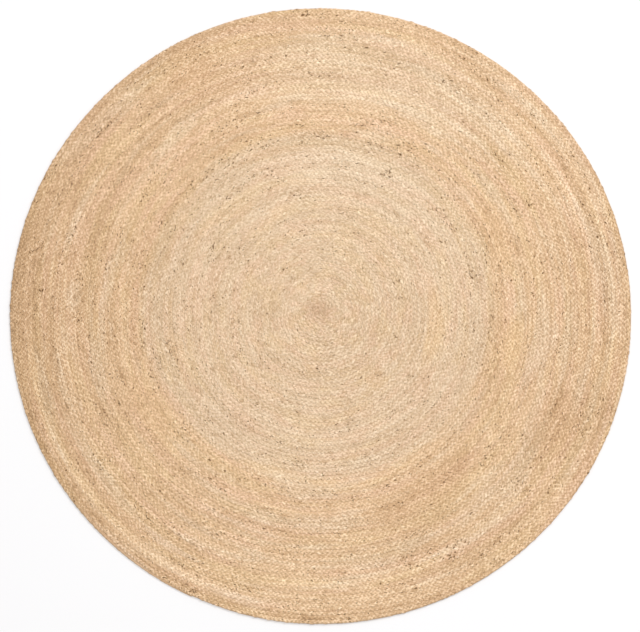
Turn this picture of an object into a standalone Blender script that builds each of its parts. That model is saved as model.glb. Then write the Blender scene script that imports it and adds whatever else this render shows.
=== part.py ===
"""A round jute rug, lying flat: one three-strand jute braid, coiled from the middle and sewn edge to edge.

The coil is a single flat piece of cloth, so it is one solid. The solid reaches as far as the crests of the
braid do: its underside is flat on the floor, its top is flat at the crests, and its rim is the rounded outer
side of the last turn of braid. The origin is on the floor, under the middle of the rug. Metres, +Z up.
"""

import math

import bmesh
import bpy

RUG_DIAMETER = 2.0
RUG_THICKNESS = 0.008
BRAID_WIDTH = 0.0123  # one turn of the coil, from seam to seam

RIM_DEPTH = BRAID_WIDTH / 2  # the rounded side of the last turn, from its outermost line to its crest
RIM_STEPS = 8  # levels of the rounded rim, from the underside to the top
SEGMENTS_AROUND = 160

# How far a hand-coiled rug is from a true circle. Each row is one even wave around the rim:
# (waves around, height of the wave in metres, where its first crest is in degrees)
OUT_OF_ROUND = (
    (3, 0.0005, 100),
    (5, 0.0006, 30),
    (8, 0.0003, 110),
)

JUTE_COLOUR = (0.72, 0.49, 0.28, 1.0)
JUTE_ROUGHNESS = 0.9


def clear_scene():
    for item in list(bpy.data.objects):
        bpy.data.objects.remove(item)


def jute_material():
    material = bpy.data.materials.new("natural_jute")
    material.use_nodes = True
    shader = material.node_tree.nodes["Principled BSDF"]
    shader.inputs["Base Color"].default_value = JUTE_COLOUR
    shader.inputs["Roughness"].default_value = JUTE_ROUGHNESS
    shader.inputs["Metallic"].default_value = 0.0
    return material


def outline_radius(angle):
    """Distance from the middle of the rug to its rim, at this angle."""
    radius = RUG_DIAMETER / 2
    for waves, height, crest in OUT_OF_ROUND:
        radius += height * math.cos(waves * (angle - math.radians(crest)))
    return radius


def rim_levels():
    """(inset from the outline, height) at each level of the rounded rim, from the underside up."""
    for step in range(RIM_STEPS + 1):
        turn = math.pi * step / RIM_STEPS
        inset = RIM_DEPTH * (1 - math.sin(turn))
        height = RUG_THICKNESS / 2 * (1 - math.cos(turn))
        yield inset, height


def place_level(corners, inset, height):
    """Moves a ring of corners onto the outline, this far in from it and this high."""
    for corner in corners:
        angle = math.atan2(corner.co.y, corner.co.x)
        reach = outline_radius(angle) - inset
        corner.co = (reach * math.cos(angle), reach * math.sin(angle), height)


def braided_rug():
    """The whole coil: a flat disc with the braid's rounded side as its rim."""
    shape = bmesh.new()
    bmesh.ops.create_circle(shape, cap_ends=False, radius=RUG_DIAMETER / 2, segments=SEGMENTS_AROUND)
    corners = list(shape.verts)
    edges = list(shape.edges)
    levels = list(rim_levels())
    place_level(corners, *levels[0])
    bmesh.ops.contextual_create(shape, geom=edges)
    for inset, height in levels[1:]:
        grown = bmesh.ops.extrude_edge_only(shape, edges=edges)["geom"]
        corners = [item for item in grown if isinstance(item, bmesh.types.BMVert)]
        edges = [item for item in grown if isinstance(item, bmesh.types.BMEdge)]
        place_level(corners, inset, height)
    bmesh.ops.contextual_create(shape, geom=edges)
    bmesh.ops.recalc_face_normals(shape, faces=list(shape.faces))
    mesh = bpy.data.meshes.new("braided_rug")
    shape.to_mesh(mesh)
    shape.free()
    mesh.shade_smooth()
    mesh.set_sharp_from_angle(angle=math.radians(40))
    mesh.materials.append(jute_material())
    rug = bpy.data.objects.new("braided_rug", mesh)
    bpy.context.scene.collection.objects.link(rug)
    return rug


clear_scene()
braided_rug()
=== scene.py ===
"""A round jute rug: one three-strand jute braid, coiled flat from the middle and sewn edge to edge.

Each of the three strands is modelled along the whole braid, over and under the other two, so the two
columns of lobes on the top, the same two underneath and the seams between the turns are real shape.
Metres, +Z up.
"""

import math
from collections import namedtuple

import bmesh
import bpy
import numpy as np
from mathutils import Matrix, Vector


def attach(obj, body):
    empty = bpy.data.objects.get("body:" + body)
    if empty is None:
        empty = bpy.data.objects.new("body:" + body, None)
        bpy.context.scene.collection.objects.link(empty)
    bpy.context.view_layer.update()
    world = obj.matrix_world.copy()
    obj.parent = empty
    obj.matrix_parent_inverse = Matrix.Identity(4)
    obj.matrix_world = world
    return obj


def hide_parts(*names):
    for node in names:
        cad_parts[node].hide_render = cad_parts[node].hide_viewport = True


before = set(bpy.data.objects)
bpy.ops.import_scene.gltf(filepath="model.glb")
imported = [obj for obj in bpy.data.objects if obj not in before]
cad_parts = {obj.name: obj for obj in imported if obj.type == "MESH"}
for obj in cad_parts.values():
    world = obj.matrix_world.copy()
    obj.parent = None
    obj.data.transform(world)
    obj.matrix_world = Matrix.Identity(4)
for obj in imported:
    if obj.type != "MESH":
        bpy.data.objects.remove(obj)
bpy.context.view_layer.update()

SEED = 20
MM = 0.001

# The coil
TURNS = 81
COIL_END_ANGLE = math.radians(268)  # where the braid's outer end is tucked in
JOG = 0.17  # share of a turn in which a pressed-round turn steps out to the next one
JOGGED_TURNS = 12  # how many outer turns are pressed round in this way
NARROWEST = 0.3  # the braid ends where it has tapered to this share of its width
COIL_START = -0.47  # the braid starts this part of a turn early, folded into the middle
STEPS_PER_TURN = 400  # how finely the length of the coil is added up

# The braid
STRANDS = 3
STRAND_REPEAT = 43 * MM  # length of braid in which a strand comes back to where it was
RINGS_PER_REPEAT = 6
STRAND_SWING = 0.36  # how far a strand swings to each side, as a share of the braid's width
STRAND_RISE = 1.4 * MM  # how far it rises over the others and dips under them
STRAND_HALF_WIDTH = 3.05 * MM
STRAND_HALF_THICKNESS = 2.4 * MM
BRAID_MIDDLE = 3.85 * MM  # height of the braid's middle above the floor
TAPERED_HEIGHT = 0.25  # share of that height which is left where the braid has tapered to nothing
LOBE_START = math.radians(-30)  # where in its swing a strand comes up as a new lobe
COIL_PARTS = 2  # each strand is modelled in this many lengths

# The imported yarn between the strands, seen only in the gaps
HEART_HALF_WIDTH = 0.54  # as a share of the braid's width, so that each turn tucks under the next
HEART_TUCK = 0.35 * MM  # how much lower its outer edge is, where it is tucked under
HEART_TOP = 6.1 * MM
HEART_BOTTOM = 1.6 * MM
HEART_SAG = 0.4 * MM  # how far its straight steps may stay from the true curve
HEART_FOLD = 7 * MM  # how far its start reaches back across the middle of the rug
HEART_TIGHTEST = 0.25  # it curves no tighter than this share of the braid's width

# How unevenly the strands are spun and braided: by how much, and how many rings from bend to bend
Jitter = namedtuple("Jitter", "size spacing")
STEP_JITTER = Jitter(0.14, 7)
SLOW_STEP_JITTER = Jitter(0.04, 150)
LEVEL_JITTER = Jitter(0.18 * MM, 60)
SWING_JITTER = Jitter(0.14, 2.2)
SIDEWAYS_JITTER = Jitter(0.8 * MM, 1.7)
RISE_JITTER = Jitter(0.25, 2.3)
THICKNESS_JITTER = Jitter(0.10, 2.1)
SLOW_THICKNESS_JITTER = Jitter(0.04, 30)
SHORTEST_STEP = 0.6  # from ring to ring, as shares of the usual step
LONGEST_STEP = 1.5
TURN_LEVEL = 0.14 * MM  # how much higher or lower whole turns lie
TURN_LEVEL_WAVE = 2.1  # radians from one turn to the next

# How unevenly the turns are sewn: waves that carry them in and out together
WANDER_WAVES = 24
WANDER_STEP = 0.4 * MM  # how far each wave moves them
SHORTEST_WAVE = 0.06
LONGEST_WAVE = 0.50
STILL_MIDDLE = 0.10  # within this radius the waves die out
STILL_RIM = 0.05  # and so they do this near the rim


def smooth(x):
    x = np.clip(x, 0.0, 1.0)
    return x * x * (3 - 2 * x)


def slow_noise(random, count, jitter):
    """Smooth random values for this many rings."""
    knots = random.normal(size=int(count / jitter.spacing) + 3)
    at = np.arange(count) / jitter.spacing
    low = at.astype(int)
    share = smooth(at - low)
    return jitter.size * (knots[low] * (1 - share) + knots[low + 1] * share)


# ---------------------------------------------------------------- the coil

def rug_outline():
    """(angles, radii) of the rug's rim, read from the CAD solid at half its height."""
    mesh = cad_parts["braided_rug"].data
    points = np.empty(len(mesh.vertices) * 3, np.float32)
    mesh.vertices.foreach_get("co", points)
    points = points.reshape(-1, 3)
    radii = np.hypot(points[:, 0], points[:, 1])
    angles = np.arctan2(points[:, 1], points[:, 0])
    rim = np.abs(points[:, 2] - points[:, 2].max() / 2) < 0.1 * MM
    order = np.argsort(angles[rim])
    return angles[rim][order], radii[rim][order]


RIM_ANGLES, RIM_RADII = rug_outline()
RUG_RADIUS = float(RIM_RADII.mean())
BRAID_WIDTH = RUG_RADIUS / TURNS


def turn_angle(turn):
    return COIL_END_ANGLE + 2 * math.pi * turn


def inner_edge(turn):
    """How far from the middle the braid's inner edge is, this many turns from its start."""
    whole = np.floor(turn)
    part = turn - whole
    pressed = np.clip((whole - TURNS + JOGGED_TURNS) / (JOGGED_TURNS - 1), 0, 1)
    stepped = smooth((part - 1 + JOG) / JOG)
    return BRAID_WIDTH * np.minimum(whole + part + (stepped - part) * pressed, TURNS)


def wander(radius, angle):
    """How far the turns have drifted out at this place: not at all in the middle and along the rim."""
    random = np.random.default_rng(SEED + 1)
    drift = 0.0
    for wave in range(WANDER_WAVES):
        length = SHORTEST_WAVE * (LONGEST_WAVE / SHORTEST_WAVE) ** random.random()
        heading = random.uniform(0, 2 * math.pi)
        start = random.uniform(0, 2 * math.pi)
        drift = drift + np.sin(start + 2 * math.pi / length * radius * np.cos(angle - heading))
    inside = smooth(radius / STILL_MIDDLE) * smooth((RUG_RADIUS - radius) / STILL_RIM)
    return WANDER_STEP * drift * inside


def out_of_round(radius, angle):
    """A radius on the true circle, moved as the rim is at that angle: wholly there, hardly inside."""
    rim = np.interp(angle, RIM_ANGLES, RIM_RADII, period=2 * math.pi)
    moved = radius * (1 + (rim / RUG_RADIUS - 1) * (radius / RUG_RADIUS) ** 4)
    return moved + wander(radius, angle)


def braid_middle(turn):
    """(radius, width) of the braid at this turn."""
    inside = inner_edge(turn)
    outside = inner_edge(turn + 1)
    return (inside + outside) / 2, outside - inside


def end_of_braid():
    """The turn at which the tapering braid ends."""
    turns = np.linspace(TURNS - 0.5, TURNS, 5 * STEPS_PER_TURN)
    width = braid_middle(turns)[1]
    return float(turns[width > NARROWEST * BRAID_WIDTH].max())


def length_along_coil():
    """(turns, metres of braid up to there)."""
    turns = np.linspace(COIL_START, end_of_braid(), TURNS * STEPS_PER_TURN)
    radius = braid_middle(turns)[0]
    around = (radius[1:] + radius[:-1]) / 2 * np.diff(turns) * 2 * math.pi
    steps = np.hypot(np.diff(radius), around)
    return turns, np.concatenate([[0], np.cumsum(steps)])


def coil_route(reach, angle, height):
    return np.column_stack([reach * np.cos(angle), reach * np.sin(angle), height])


# ---------------------------------------------------------------- tubes

def bevel_outline(name, corners):
    """A closed outline that a tube is swept from, counter-clockwise from behind."""
    curve = bpy.data.curves.new(name, "CURVE")
    curve.dimensions = "2D"
    spline = curve.splines.new("POLY")
    spline.points.add(len(corners) - 1)
    for point, (across, up) in zip(spline.points, corners):
        point.co = (across, up, 0, 1)
    spline.use_cyclic_u = True
    return bpy.data.objects.new(name, curve)


def route_curve(name, route, thickness, outline):
    """A curve along a route, which sweeps the outline upright, scaled by thickness at each point."""
    curve = bpy.data.curves.new(name, "CURVE")
    curve.dimensions = "3D"
    curve.twist_mode = "Z_UP"
    curve.bevel_mode = "OBJECT"
    curve.bevel_object = outline
    spline = curve.splines.new("POLY")
    spline.points.add(len(route) - 1)
    weighted = np.column_stack([route, np.ones(len(route))])
    spline.points.foreach_set("co", weighted.astype(np.float32).ravel())
    spline.points.foreach_set("radius", thickness.astype(np.float32))
    spline.use_smooth = True
    return curve


def swept_tube(name, route, thickness, outline):
    """A closed mesh tube along a route. Its vertices come ring by ring, in the outline's order."""
    curve = route_curve(name, route, thickness, outline)
    guide = bpy.data.objects.new(name + "_route", curve)
    bpy.context.scene.collection.objects.link(guide)
    graph = bpy.context.evaluated_depsgraph_get()
    mesh = bpy.data.meshes.new_from_object(guide.evaluated_get(graph))
    mesh.name = name
    bpy.data.objects.remove(guide)
    bpy.data.curves.remove(curve)
    shape = bmesh.new()
    shape.from_mesh(mesh)
    open_ends = [edge for edge in shape.edges if edge.is_boundary]
    bmesh.ops.holes_fill(shape, edges=open_ends, sides=0)
    bmesh.ops.recalc_face_normals(shape, faces=list(shape.faces))
    shape.to_mesh(mesh)
    shape.free()
    piece = bpy.data.objects.new(name, mesh)
    bpy.context.scene.collection.objects.link(piece)
    return piece


def vertex_places(piece):
    places = np.empty(len(piece.data.vertices) * 3, np.float32)
    piece.data.vertices.foreach_get("co", places)
    return places.reshape(-1, 3)


def move_vertices(piece, places):
    piece.data.vertices.foreach_set("co", places.astype(np.float32).ravel())
    piece.data.update()


def write_attribute(piece, name, values):
    attribute = piece.data.attributes.new(name, "FLOAT_VECTOR", "POINT")
    attribute.data.foreach_set("vector", values.astype(np.float32).ravel())


def fit(piece):
    """A piece of the rug: it rides on the rug's one body and stands for the plain CAD solid."""
    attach(piece, "root")
    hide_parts("braided_rug")


# ---------------------------------------------------------------- the three strands

STRAND_CORNERS = (
    (STRAND_HALF_WIDTH, -STRAND_HALF_THICKNESS),
    (-STRAND_HALF_WIDTH, -STRAND_HALF_THICKNESS),
    (-STRAND_HALF_WIDTH, STRAND_HALF_THICKNESS),
    (STRAND_HALF_WIDTH, STRAND_HALF_THICKNESS),
)


def braid_rings(random):
    """Where the strands' rings are: their turn of the coil, and their length along the braid."""
    turns, lengths = length_along_coil()
    count = int(lengths[-1] / STRAND_REPEAT * RINGS_PER_REPEAT)
    step = 1 + slow_noise(random, count, STEP_JITTER) + slow_noise(random, count, SLOW_STEP_JITTER)
    along = np.cumsum(np.clip(step, SHORTEST_STEP, LONGEST_STEP))
    along *= lengths[-1] / along[-1]
    return np.interp(along, lengths, turns), along


def strand_ring_data(strand, turns, level, random):
    """The route, thickness and lobe tones of one strand, ring by ring."""
    count = len(turns)
    phase = 2 * math.pi * (np.arange(count) / RINGS_PER_REPEAT + strand / STRANDS)
    radius, width = braid_middle(turns)
    share = width / BRAID_WIDTH
    swing = STRAND_SWING * width * (1 + slow_noise(random, count, SWING_JITTER))
    sideways = swing * np.sin(phase) + slow_noise(random, count, SIDEWAYS_JITTER) * share
    rise = STRAND_RISE * share * (1 + slow_noise(random, count, RISE_JITTER))
    middle = BRAID_MIDDLE * (TAPERED_HEIGHT + (1 - TAPERED_HEIGHT) * share)
    height = middle + rise * np.sin(2 * phase) + level
    angle = turn_angle(turns)
    route = coil_route(out_of_round(radius + sideways, angle), angle, height)
    uneven = slow_noise(random, count, THICKNESS_JITTER)
    uneven = uneven + slow_noise(random, count, SLOW_THICKNESS_JITTER)
    lobe = np.floor((phase - LOBE_START) / math.pi).astype(int)
    lobe_tone = random.normal(size=lobe.max() + 2)[lobe]
    return route, share * (1 + uneven), lobe_tone


def finish_strand(piece, strand, along, lobe_tone):
    """Presses the strand flat on the floor, and writes down where each point of it is on its yarn."""
    places = vertex_places(piece)
    places[:, 2] = np.clip(places[:, 2], 0.0, None)
    move_vertices(piece, places)
    sides = len(STRAND_CORNERS)
    corners = np.array(STRAND_CORNERS)
    yarn = np.column_stack([np.repeat(along, sides), np.tile(corners, (len(along), 1))])
    write_attribute(piece, "yarn", yarn)
    count = len(yarn)
    lot = np.column_stack([np.repeat(lobe_tone, sides), np.full(count, float(strand)), np.zeros(count)])
    write_attribute(piece, "lot", lot)


def strand_pieces(material):
    """The three strands, each in COIL_PARTS lengths."""
    random = np.random.default_rng(SEED)
    turns, along = braid_rings(random)
    count = len(turns)
    level = slow_noise(random, count, LEVEL_JITTER)
    level = level + TURN_LEVEL * np.sin(TURN_LEVEL_WAVE * np.floor(turns))
    cuts = np.linspace(0, count, COIL_PARTS + 1).astype(int)
    outline = bevel_outline("strand_outline", STRAND_CORNERS)
    made = []
    for strand in range(STRANDS):
        route, thickness, lobe_tone = strand_ring_data(strand, turns, level, random)
        for part in range(COIL_PARTS):
            name = f"strand_{strand + 1}_length_{part + 1}"
            rings = slice(cuts[part], min(cuts[part + 1] + 1, count))
            piece = swept_tube(name, route[rings], thickness[rings], outline)
            finish_strand(piece, strand, along[rings], lobe_tone[rings])
            piece.data.materials.append(material)
            made.append(piece)
    return made


# ---------------------------------------------------------------- the heart of the braid

def heart_turns():
    """Where the heart's steps are along the coil: as long as they can be without leaving the curve."""
    last = end_of_braid()
    turns = [COIL_START]
    while turns[-1] < last:
        radius = float(braid_middle(np.array(turns[-1]))[0])
        radius = max(radius, HEART_TIGHTEST * BRAID_WIDTH)
        turns.append(turns[-1] + math.sqrt(8 * HEART_SAG / radius) / (2 * math.pi))
    return np.minimum(np.array(turns), last)


def braid_heart(material):
    """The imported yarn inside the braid, as one flat ribbon that follows the coil edge to edge."""
    turns = heart_turns()
    radius, width = braid_middle(turns)
    angle = turn_angle(turns)
    height = np.full(len(turns), (HEART_TOP + HEART_BOTTOM) / 2)
    route = coil_route(out_of_round(radius, angle), angle, height)
    onward = route[1] - route[0]
    route[0] -= HEART_FOLD * onward / np.linalg.norm(onward)
    half = HEART_HALF_WIDTH * BRAID_WIDTH
    tall = (HEART_TOP - HEART_BOTTOM) / 2
    corners = ((half, -tall + HEART_TUCK), (-half, -tall), (-half, tall), (half, tall - HEART_TUCK))
    outline = bevel_outline("heart_outline", corners)
    heart = swept_tube("braid_heart", route, width / BRAID_WIDTH, outline)
    heart.data.materials.append(material)
    return heart


# ---------------------------------------------------------------- how a material is mixed

class Value:
    """A socket whose value varies over a surface. Arithmetic on it adds Math nodes."""

    def __init__(self, recipe, socket):
        self.recipe = recipe
        self.socket = socket

    def maths(self, operation, first, second):
        return self.recipe.node("Math", {"operation": operation}, {0: first, 1: second})

    def __add__(self, other):
        return self.maths("ADD", self, other)

    __radd__ = __add__

    def __sub__(self, other):
        return self.maths("SUBTRACT", self, other)

    def __rsub__(self, other):
        return self.maths("SUBTRACT", other, self)

    def __mul__(self, other):
        return self.maths("MULTIPLY", self, other)

    __rmul__ = __mul__


class Recipe:
    """A material being mixed: its nodes, and the shader they feed."""

    def __init__(self, name):
        self.material = bpy.data.materials.new(name)
        self.material.use_nodes = True
        self.tree = self.material.node_tree
        self.shader = self.tree.nodes["Principled BSDF"]

    def node(self, kind, settings=None, inputs=None, output=0):
        """Adds a node of this type, sets it up, fills its sockets, and returns one of its outputs."""
        made = self.tree.nodes.new("ShaderNode" + kind)
        for name, value in (settings or {}).items():
            if name == "stops":
                self.set_stops(made.color_ramp, value)
            else:
                setattr(made, name, value)
        for socket, value in (inputs or {}).items():
            self.fill(made.inputs[socket], value)
        return Value(self, made.outputs[output])

    def set_stops(self, ramp, stops):
        while len(ramp.elements) < len(stops):
            ramp.elements.new(1.0)
        for element, (place, colour) in zip(ramp.elements, stops):
            element.position = place
            element.color = colour

    def fill(self, socket, value):
        if isinstance(value, Value):
            self.tree.links.new(value.socket, socket)
        else:
            socket.default_value = value

    def feed(self, name, value):
        self.fill(self.shader.inputs[name], value)

    def matt(self, roughness, shine):
        self.shader.inputs["Roughness"].default_value = roughness
        self.shader.inputs["Specular IOR Level"].default_value = shine

    def vectors(self, operation, inputs, output=0):
        return self.node("VectorMath", {"operation": operation}, inputs, output)

    def length(self, vector):
        return self.vectors("LENGTH", {0: vector}, output=1)

    def stretched(self, vector, scale):
        return self.vectors("MULTIPLY", {0: vector, 1: scale})

    def parts(self, vector):
        """The three numbers of a vector."""
        split = self.node("SeparateXYZ", {}, {0: vector}).socket.node
        return [Value(self, output) for output in split.outputs]

    def blend(self, share, first, second):
        """Two colours mixed, by a share from 0 to 1."""
        settings = {"data_type": "RGBA", "clamp_factor": True}
        return self.node("Mix", settings, {0: share, 6: first, 7: second}, output=2)

    def noise(self, vector, scale, detail=2.0, roughness=0.5):
        """Soft noise from 0 to 1, about a half on average."""
        inputs = {"Vector": vector, "Scale": scale, "Detail": detail, "Roughness": roughness}
        return self.node("TexNoise", {"noise_dimensions": "3D"}, inputs)

    def step(self, value, low, high):
        """0 below low, 1 above high, smooth between."""
        settings = {"interpolation_type": "SMOOTHSTEP"}
        return self.node("MapRange", settings, {"Value": value, "From Min": low, "From Max": high})


class CoilRecipe(Recipe):
    """A recipe whose patterns are placed by how far they are from the rug's middle, and in which
    direction, so that they follow the turns."""

    def __init__(self, name):
        super().__init__(name)
        self.place = self.node("TexCoord", output="Object")
        flat = self.stretched(self.place, (1, 1, 0))
        self.radius = self.length(flat)
        self.around = self.vectors("NORMALIZE", {0: flat})
        self.outwards = self.step(self.radius, EVEN_WITHIN, UNEVEN_BEYOND)

    def arcs(self, pattern, detail=2.0):
        """Noise in arcs that follow the turns."""
        height = self.node("CombineXYZ", {}, {2: self.radius * pattern.across + pattern.shift})
        scale = (pattern.along, pattern.along, 0)
        spot = self.vectors("MULTIPLY_ADD", {0: self.around, 1: scale, 2: height})
        return self.noise(spot, 1.0, detail, ARC_ROUGHNESS)

    def facing(self, angle):
        """1 in the direction of this angle from the middle, -1 opposite."""
        return self.vectors("DOT_PRODUCT", {0: self.around, 1: heading(angle)}, output=1)

    def apart(self, angle):
        """How far this direction is from that angle: about the radians between them, if they are few."""
        return self.vectors("DISTANCE", {0: self.around, 1: heading(angle)}, output=1)


def heading(angle):
    return (math.cos(angle), math.sin(angle), 0)


# ---------------------------------------------------------------- natural jute

PALE_WHEAT = (0.732, 0.543, 0.365, 1)
GOLDEN_TAN = (0.755, 0.526, 0.325, 1)
ROSY_YARN = (0.785, 0.525, 0.355, 1)
STRAW_YARN = (0.765, 0.55, 0.312, 1)
PALE_YARN = (0.735, 0.56, 0.388, 1)
RUST_YARN = (0.745, 0.495, 0.295, 1)
GOLD_YARN = (0.785, 0.54, 0.305, 1)
ROSE_BROWN_YARN = (0.74, 0.505, 0.35, 1)
BARK_BROWN = (0.13, 0.06, 0.012, 1)

# A tone is how light the yarn is beside its colour, painted shade and painted light included: the darkest
# also turns browner, the palest greyer
BASE_TONE = 0.75
DEEP_TINT = (1.0, 0.89, 0.76, 1)
FADED_TINT = (1.0, 1.11, 1.24, 1)
TINTS_FROM = 0.65  # the tone of the deep tint
TINTS_OVER = 0.7  # how much lighter the tone of the faded one is

# The yarn is more even within the first radius than beyond the second
EVEN_WITHIN = 0.40
UNEVEN_BEYOND = 0.95

# Patterns in arcs: features a metre across the turns, features a radian along them, and a shift that
# keeps one from matching another
Arcs = namedtuple("Arcs", "across along shift")
ZONE_ARCS = Arcs(6.0, 1.2, 40.0)
WIDE_ARCS = Arcs(24.0, 1.6, 130.0)
THIN_ARCS = Arcs(70.0, 1.8, 170.0)
LINE_ARCS = Arcs(72.0, 1.1, 250.0)
CIRCLE_ARCS = Arcs(58.0, 0.4, 300.0)
BARK_ARCS = Arcs(30.0, 7.0, 210.0)
ARC_ROUGHNESS = 0.6

# The inner turns are of a paler lot. Its edge wavers, and lies farther out towards one side
ZONE_FROM = 0.56
ZONE_TO = 0.61
ZONE_WAVER = 0.05
ZONE_REACH = 0.025
ZONE_REACH_ANGLE = math.radians(115)

# Lots of fibre in arcs: where their noise begins and is full, and their share in inner and outer turns
Lot = namedtuple("Lot", "arcs begins full inner outer colour")
ROSY_LOT = Lot(Arcs(24.0, 2.2, 0.0), 0.44, 0.64, 0.36, 0.46, ROSY_YARN)
STRAW_LOT = Lot(Arcs(21.0, 2.0, 50.0), 0.46, 0.64, 0.30, 0.42, STRAW_YARN)
PALE_LOT = Lot(Arcs(23.0, 2.4, 90.0), 0.48, 0.66, 0.28, 0.48, PALE_YARN)

# How much each pattern changes the tone
WIDE_ARC_TONE = 0.27
THIN_ARC_TONE = 0.22
PALE_LOT_TONE = 0.03
USUAL_PALE_LOT = 0.3
DARK_LINE_TONE = 0.09
PALE_LINE_TONE = 0.06
LINES_FROM = 0.62
LINES_TO = 0.74
CIRCLE_TONE = 0.15
RING_TONE = 0.5
SPECKLE_TONE = 0.75
SPECKLE_SCALE = 250.0
SPECKLE_ROUGHNESS = 0.8
INNER_DRIFT = 0.5  # how strong the arcs and streaks are in the middle of the rug
OUTER_DRIFT = 0.62  # and how much stronger at the rim

# Rings in which the yarn came lighter or darker, or with more bark: place as a share of the radius
Ring = namedtuple("Ring", "place tone bark")
YARN_RINGS = (
    Ring(0.00, 0.39, 0.2),
    Ring(0.04, 0.40, 0.2),
    Ring(0.055, 0.48, 0.2),
    Ring(0.078, 0.52, 0.2),
    Ring(0.10, 0.48, 0.2),
    Ring(0.15, 0.52, 0.2),
    Ring(0.195, 0.52, 0.3),
    Ring(0.212, 0.46, 0.3),
    Ring(0.235, 0.53, 0.2),
    Ring(0.27, 0.51, 0.6),
    Ring(0.30, 0.52, 0.3),
    Ring(0.42, 0.545, 0.4),
    Ring(0.47, 0.53, 0.4),
    Ring(0.50, 0.52, 0.7),
    Ring(0.53, 0.53, 0.3),
    Ring(0.56, 0.51, 0.5),
    Ring(0.58, 0.46, 0.8),
    Ring(0.62, 0.50, 0.4),
    Ring(0.66, 0.50, 0.5),
    Ring(0.75, 0.52, 0.4),
    Ring(0.77, 0.49, 0.6),
    Ring(0.795, 0.48, 0.4),
    Ring(0.825, 0.56, 0.3),
    Ring(0.85, 0.50, 0.6),
    Ring(0.88, 0.59, 0.4),
    Ring(0.905, 0.55, 0.5),
    Ring(0.925, 0.53, 0.8),
    Ring(0.947, 0.71, 0.5),
    Ring(0.972, 0.50, 0.6),
    Ring(0.99, 0.40, 0.6),
)

# Patches of another lot: angle in degrees, place and half width as shares of the radius, half length in
# radians
Patch = namedtuple("Patch", "angle place half_length half_width tone colour")
YARN_PATCHES = (
    Patch(168, 0.020, 2.50, 0.030, -0.02, ROSE_BROWN_YARN),
    Patch(268, 0.985, 0.04, 0.020, -0.14, GOLDEN_TAN),
    Patch(165, 0.960, 0.65, 0.060, -0.06, GOLDEN_TAN),
    Patch(118, 0.900, 0.10, 0.100, -0.05, RUST_YARN),
    Patch(335, 0.840, 0.16, 0.090, -0.05, RUST_YARN),
    Patch(350, 0.620, 0.14, 0.045, 0.02, GOLD_YARN),
    Patch(25, 0.635, 0.22, 0.055, -0.01, RUST_YARN),
    Patch(352, 0.370, 0.40, 0.030, 0.00, GOLD_YARN),
    Patch(300, 0.670, 0.34, 0.055, -0.045, RUST_YARN),
    Patch(210, 0.640, 0.20, 0.050, -0.01, RUST_YARN),
    Patch(321, 0.290, 0.11, 0.040, 0.03, PALE_YARN),
    Patch(176, 0.800, 0.07, 0.030, 0.03, PALE_YARN),
    Patch(230, 0.460, 0.20, 0.030, 0.00, PALE_YARN),
    Patch(78, 0.500, 0.50, 0.080, 0.02, PALE_YARN),
    Patch(75, 0.810, 0.60, 0.140, 0.04, PALE_YARN),
)
PATCH_REACH = 1.3  # how far a patch would reach if it weren't ragged, in half widths
PATCH_RAGGED = 0.8
PATCH_SOFT_FROM = 0.1
PATCH_SOFT_TO = 0.8
PATCH_SHARE = 0.45

# Painted light: the side of the rug towards the window lamp is painted lighter, and the braid has a
# painted sheen on the two opposite sides where it runs across the light, lighter there than between them
LAMP_SIDE_LIGHT_ANGLE = math.radians(46)
LAMP_SIDE_LIGHT_TONE = 0.035
PAINTED_SHEEN_ANGLE = math.radians(76)
PAINTED_SHEEN_TONE = 0.09

# Painted shade: the yarn is painted darker down between the lobes, where shade falls, and a little
# lighter on their tops: heights above or below the braid's middle
DEEP = 1.9 * MM
HIGH = 3.7 * MM
PAINTED_TOP_LIGHT = 1.03
INNER_PAINTED_SHADE = 0.12
OUTER_PAINTED_SHADE = 0.08  # added towards the rim

# Patterns along the yarn: features a metre along it, across it and through it
FIBRE_SCALE = (90.0, 1500.0, 1500.0)
BUNDLE_SCALE = (95.0, 280.0, 280.0)
FLECK_SCALE = (105.0, 215.0, 215.0)
HANK_SCALE = (4.0, 0.0, 0.0)
SPUN_SCALE = (8.0, 1.0, 0.0)
STRAND_SHIFT = (0, 7.7, 0)  # keeps one strand's patterns from matching another's
FIBRE_ROUGHNESS = 0.6
BUNDLE_ROUGHNESS = 0.75
LOBE_TONE = 0.045
FIBRE_TONE = 0.34
STREAK_TONE = 0.24
BUNDLE_TONE = 0.93
DARK_BUNDLE_TONE = 0.17
DARK_BUNDLES_FROM = 0.58
DARK_BUNDLES_TO = 0.74
INNER_BUNDLES = 0.9
OUTER_BUNDLES = 0.25  # added towards the rim
FIBRE_HEIGHT = 0.6 * MM
FIBRE_BUMP = 0.5

# Bark: how much the arcs and rings bring, where it dulls the yarn, and where it shows as a fleck
BARK_IN_ARCS = 0.42
BARK_IN_RINGS = 0.11
BARK_ON_LOBES = 0.06
BARK_DULLING = 0.10
DULL_FROM = 0.36
DULL_TO = 0.41
FLECKS_FROM = 0.965
FLECKS_TO = 0.985
FLECK_SHARE = 0.95


def lot_colours(recipe):
    """(colour, share of the pale lot): a paler lot in the inner turns, and rosier, more yellow and paler
    lots in arcs all over."""
    edge = recipe.radius + ZONE_WAVER * recipe.arcs(ZONE_ARCS)
    zone = recipe.step(edge - ZONE_REACH * recipe.facing(ZONE_REACH_ANGLE), ZONE_FROM, ZONE_TO)
    colour = recipe.blend(zone, PALE_WHEAT, GOLDEN_TAN)
    for lot in (ROSY_LOT, STRAW_LOT, PALE_LOT):
        present = recipe.step(recipe.arcs(lot.arcs), lot.begins, lot.full)
        share = lot.inner + (lot.outer - lot.inner) * zone
        colour = recipe.blend(present * share, colour, lot.colour)
    return colour, present


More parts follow.
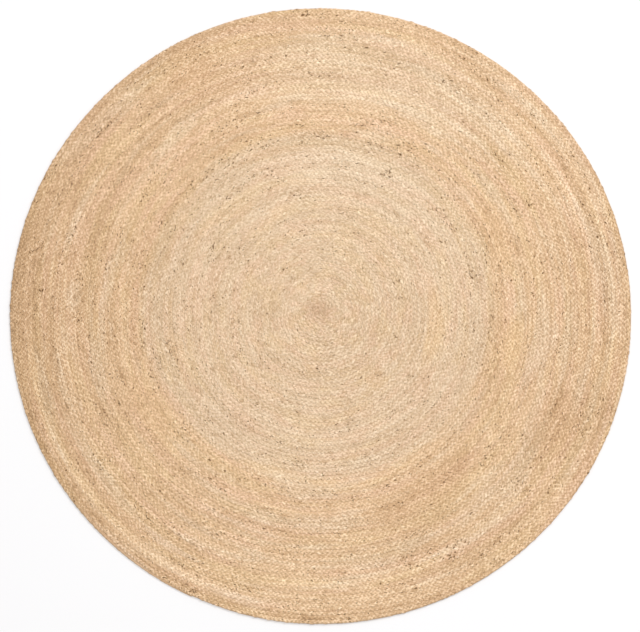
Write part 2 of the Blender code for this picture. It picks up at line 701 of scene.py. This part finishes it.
def drift_tone(recipe, wide_arcs, thin_arcs, pale):
    """How much lighter or darker the yarn is for the arcs and thin lines it came in."""
    lines = recipe.arcs(LINE_ARCS, detail=1.0)
    arcs = (wide_arcs - 0.5) * WIDE_ARC_TONE + (thin_arcs - 0.5) * THIN_ARC_TONE
    dark_lines = DARK_LINE_TONE * recipe.step(lines, LINES_FROM, LINES_TO)
    pale_lines = PALE_LINE_TONE * recipe.step(1 - lines, LINES_FROM, LINES_TO)
    return arcs + (pale - USUAL_PALE_LOT) * PALE_LOT_TONE - dark_lines + pale_lines


def add_patches(recipe, colour, tone, wide_arcs, thin_arcs):
    """(colour, tone) with the patches of other lots, ragged as the arcs are."""
    for patch in YARN_PATCHES:
        along = recipe.apart(math.radians(patch.angle)) * (1 / patch.half_length)
        across = (recipe.radius - patch.place * RUG_RADIUS) * (1 / (patch.half_width * RUG_RADIUS))
        offset = recipe.node("CombineXYZ", {}, {0: along, 1: across, 2: thin_arcs - 0.5})
        near = PATCH_REACH - recipe.length(offset) + PATCH_RAGGED * (wide_arcs - 0.5)
        inside = recipe.step(near, PATCH_SOFT_FROM, PATCH_SOFT_TO)
        colour = recipe.blend(inside * PATCH_SHARE, colour, patch.colour)
        tone = tone + inside * patch.tone
    return colour, tone


def painted_side_light(recipe):
    """Painted light: lighter towards the window lamp's side, with a painted sheen on two opposite sides,
    the more so the farther out.
    """
    lengthways = recipe.facing(PAINTED_SHEEN_ANGLE)
    lamp_side_light = LAMP_SIDE_LIGHT_TONE * recipe.facing(LAMP_SIDE_LIGHT_ANGLE)
    return recipe.radius * (lamp_side_light + PAINTED_SHEEN_TONE * (lengthways * lengthways - 0.5))


def painted_pit_shade(recipe):
    """What the tone is multiplied by: painted shade, less than 1 down between the lobes, and a little
    over 1 on their tops.
    """
    height = recipe.parts(recipe.place)[2]
    off_middle = recipe.node("Math", {"operation": "ABSOLUTE"}, {0: height - BRAID_MIDDLE})
    top = recipe.step(off_middle, DEEP, HIGH)
    painted_shade = INNER_PAINTED_SHADE + OUTER_PAINTED_SHADE * recipe.outwards
    return PAINTED_TOP_LIGHT - painted_shade * (1 - top)


def add_spun_yarn(recipe, colour, tone, strength, ring_bark):
    """(colour, tone) with what follows each strand: lobes, fibres, bundles of them, streaks and bark."""
    yarn = recipe.node("Attribute", {"attribute_name": "yarn"}, output="Vector")
    lot = recipe.node("Attribute", {"attribute_name": "lot"}, output="Vector")
    lobe, strand, _ = recipe.parts(lot)
    strand_place = recipe.node("CombineXYZ", {}, {1: strand})
    spread = recipe.vectors("MULTIPLY_ADD", {0: strand_place, 1: STRAND_SHIFT, 2: yarn})

    fibre = recipe.noise(recipe.stretched(spread, FIBRE_SCALE), 1.0, 3.0, FIBRE_ROUGHNESS)
    hank = recipe.noise(recipe.stretched(yarn, HANK_SCALE), 1.0)
    spun = recipe.noise(recipe.stretched(spread, SPUN_SCALE), 1.0)
    streaks = (hank - 0.5) * STREAK_TONE + (spun - 0.5) * STREAK_TONE
    tone = tone + lobe * LOBE_TONE + (fibre - 0.5) * FIBRE_TONE + streaks * strength

    bundle = recipe.noise(recipe.stretched(spread, BUNDLE_SCALE), 1.0, 3.0, BUNDLE_ROUGHNESS)
    dark_bundles = DARK_BUNDLE_TONE * recipe.step(bundle, DARK_BUNDLES_FROM, DARK_BUNDLES_TO)
    bundles = (0.5 - bundle) * BUNDLE_TONE - dark_bundles
    tone = tone + bundles * (INNER_BUNDLES + OUTER_BUNDLES * recipe.outwards)

    bark = BARK_IN_ARCS * recipe.arcs(BARK_ARCS, detail=3.0) + BARK_IN_RINGS * ring_bark
    tone = tone * (1 - BARK_DULLING * recipe.step(bark - BARK_ON_LOBES * lobe, DULL_FROM, DULL_TO))
    fleck = recipe.noise(recipe.stretched(spread, FLECK_SCALE), 1.0, 1.0)
    flecked = recipe.step(fleck + bark, FLECKS_FROM, FLECKS_TO)
    colour = recipe.blend(flecked * FLECK_SHARE, colour, BARK_BROWN)

    bump = {"Strength": FIBRE_BUMP, "Distance": FIBRE_HEIGHT, "Height": fibre}
    recipe.feed("Normal", recipe.node("Bump", {}, bump))
    return colour, tone


def jute_finish(name, on_strand):
    """Natural jute: pale wheat in the middle of the rug, golden tan outside, in lots that drift along."""
    recipe = CoilRecipe(name)
    colour, pale = lot_colours(recipe)
    wide_arcs = recipe.arcs(WIDE_ARCS)
    thin_arcs = recipe.arcs(THIN_ARCS)
    circles = recipe.arcs(CIRCLE_ARCS, detail=1.0)
    speckle = recipe.noise(recipe.place, SPECKLE_SCALE, 2.0, SPECKLE_ROUGHNESS)
    strength = INNER_DRIFT + OUTER_DRIFT * recipe.outwards
    ring_stops = [(ring.place, (ring.tone, ring.bark, 0, 1)) for ring in YARN_RINGS]
    rings = recipe.node("ValToRGB", {"stops": ring_stops}, {0: recipe.radius * (1 / RUG_RADIUS)})
    ring_tone, ring_bark, _ = recipe.parts(rings)

    tone = BASE_TONE + ring_tone * RING_TONE
    tone = tone + drift_tone(recipe, wide_arcs, thin_arcs, pale) * strength
    tone = tone + (circles - 0.5) * CIRCLE_TONE + (speckle - 0.5) * SPECKLE_TONE
    colour, tone = add_patches(recipe, colour, tone, wide_arcs, thin_arcs)
    # Painted light on the lamp's side and the braid's painted sheen, then painted shade down between the
    # lobes
    tone = (tone + painted_side_light(recipe)) * painted_pit_shade(recipe)
    if on_strand:
        colour, tone = add_spun_yarn(recipe, colour, tone, strength, ring_bark)

    tint = recipe.blend((tone - TINTS_FROM) * (1 / TINTS_OVER), DEEP_TINT, FADED_TINT)
    tinted = recipe.vectors("MULTIPLY", {0: colour, 1: tint})
    recipe.feed("Base Color", recipe.vectors("SCALE", {0: tinted, "Scale": tone}))
    recipe.matt(roughness=0.85, shine=0.25)
    return recipe.material


# ---------------------------------------------------------------- floor, light and camera

FLOOR_WHITE = (0.857, 0.85, 0.855, 1)
FLOOR_HALF_SIZE = 60.0
FLOOR_GAP = 0.2 * MM  # how far the floor lies below the rug, so that the two never share a face
WORLD_LIGHT = 0.62
CAMERA_ELEVATION = math.radians(82.5)
CAMERA_DISTANCE = 10.0
CAMERA_TARGET = Vector((-0.002, -0.0111, 0.0))
SENSOR_WIDTH = 36
VIEW_WIDTH = 2.063  # metres across the view, at the rug


def pale_floor():
    shape = bmesh.new()
    bmesh.ops.create_grid(shape, x_segments=1, y_segments=1, size=FLOOR_HALF_SIZE)
    bmesh.ops.translate(shape, verts=list(shape.verts), vec=(0, 0, -FLOOR_GAP))
    mesh = bpy.data.meshes.new("floor")
    shape.to_mesh(mesh)
    shape.free()
    recipe = Recipe("pale_floor")
    recipe.feed("Base Color", FLOOR_WHITE)
    recipe.matt(roughness=0.9, shine=0.1)
    mesh.materials.append(recipe.material)
    floor = bpy.data.objects.new("floor", mesh)
    bpy.context.scene.collection.objects.link(floor)


def soft_lamp(name, place, size, power):
    light = bpy.data.lights.new(name, "AREA")
    light.shape = "DISK"
    light.size = size
    light.energy = power
    lamp = bpy.data.objects.new(name, light)
    lamp.location = place
    lamp.rotation_euler = (-Vector(place)).to_track_quat("-Z", "Y").to_euler()
    bpy.context.scene.collection.objects.link(lamp)


def studio_light():
    world = bpy.data.worlds.new("studio")
    world.use_nodes = True
    background = world.node_tree.nodes["Background"]
    background.inputs["Color"].default_value = (1.0, 1.0, 1.0, 1)
    background.inputs["Strength"].default_value = WORLD_LIGHT
    bpy.context.scene.world = world
    soft_lamp("window_side", place=(4.4, 5.0, 7.5), size=4.0, power=345)
    soft_lamp("overhead", place=(0.0, 0.0, 9.0), size=5.0, power=290)
    bpy.context.scene.view_settings.view_transform = "Standard"


def camera():
    data = bpy.data.cameras.new("camera")
    data.sensor_width = SENSOR_WIDTH
    data.lens = SENSOR_WIDTH * CAMERA_DISTANCE / VIEW_WIDTH
    made = bpy.data.objects.new("camera", data)
    away = Vector((0.0, -math.cos(CAMERA_ELEVATION), math.sin(CAMERA_ELEVATION)))
    made.location = CAMERA_TARGET + CAMERA_DISTANCE * away
    made.rotation_euler = (-away).to_track_quat("-Z", "Y").to_euler()
    bpy.context.scene.collection.objects.link(made)
    bpy.context.scene.camera = made


# ---------------------------------------------------------------- the rug

strands = strand_pieces(jute_finish("jute_yarn", on_strand=True))
heart = braid_heart(jute_finish("packed_jute", on_strand=False))
for piece in [heart, *strands]:
    fit(piece)
pale_floor()
studio_light()
camera()
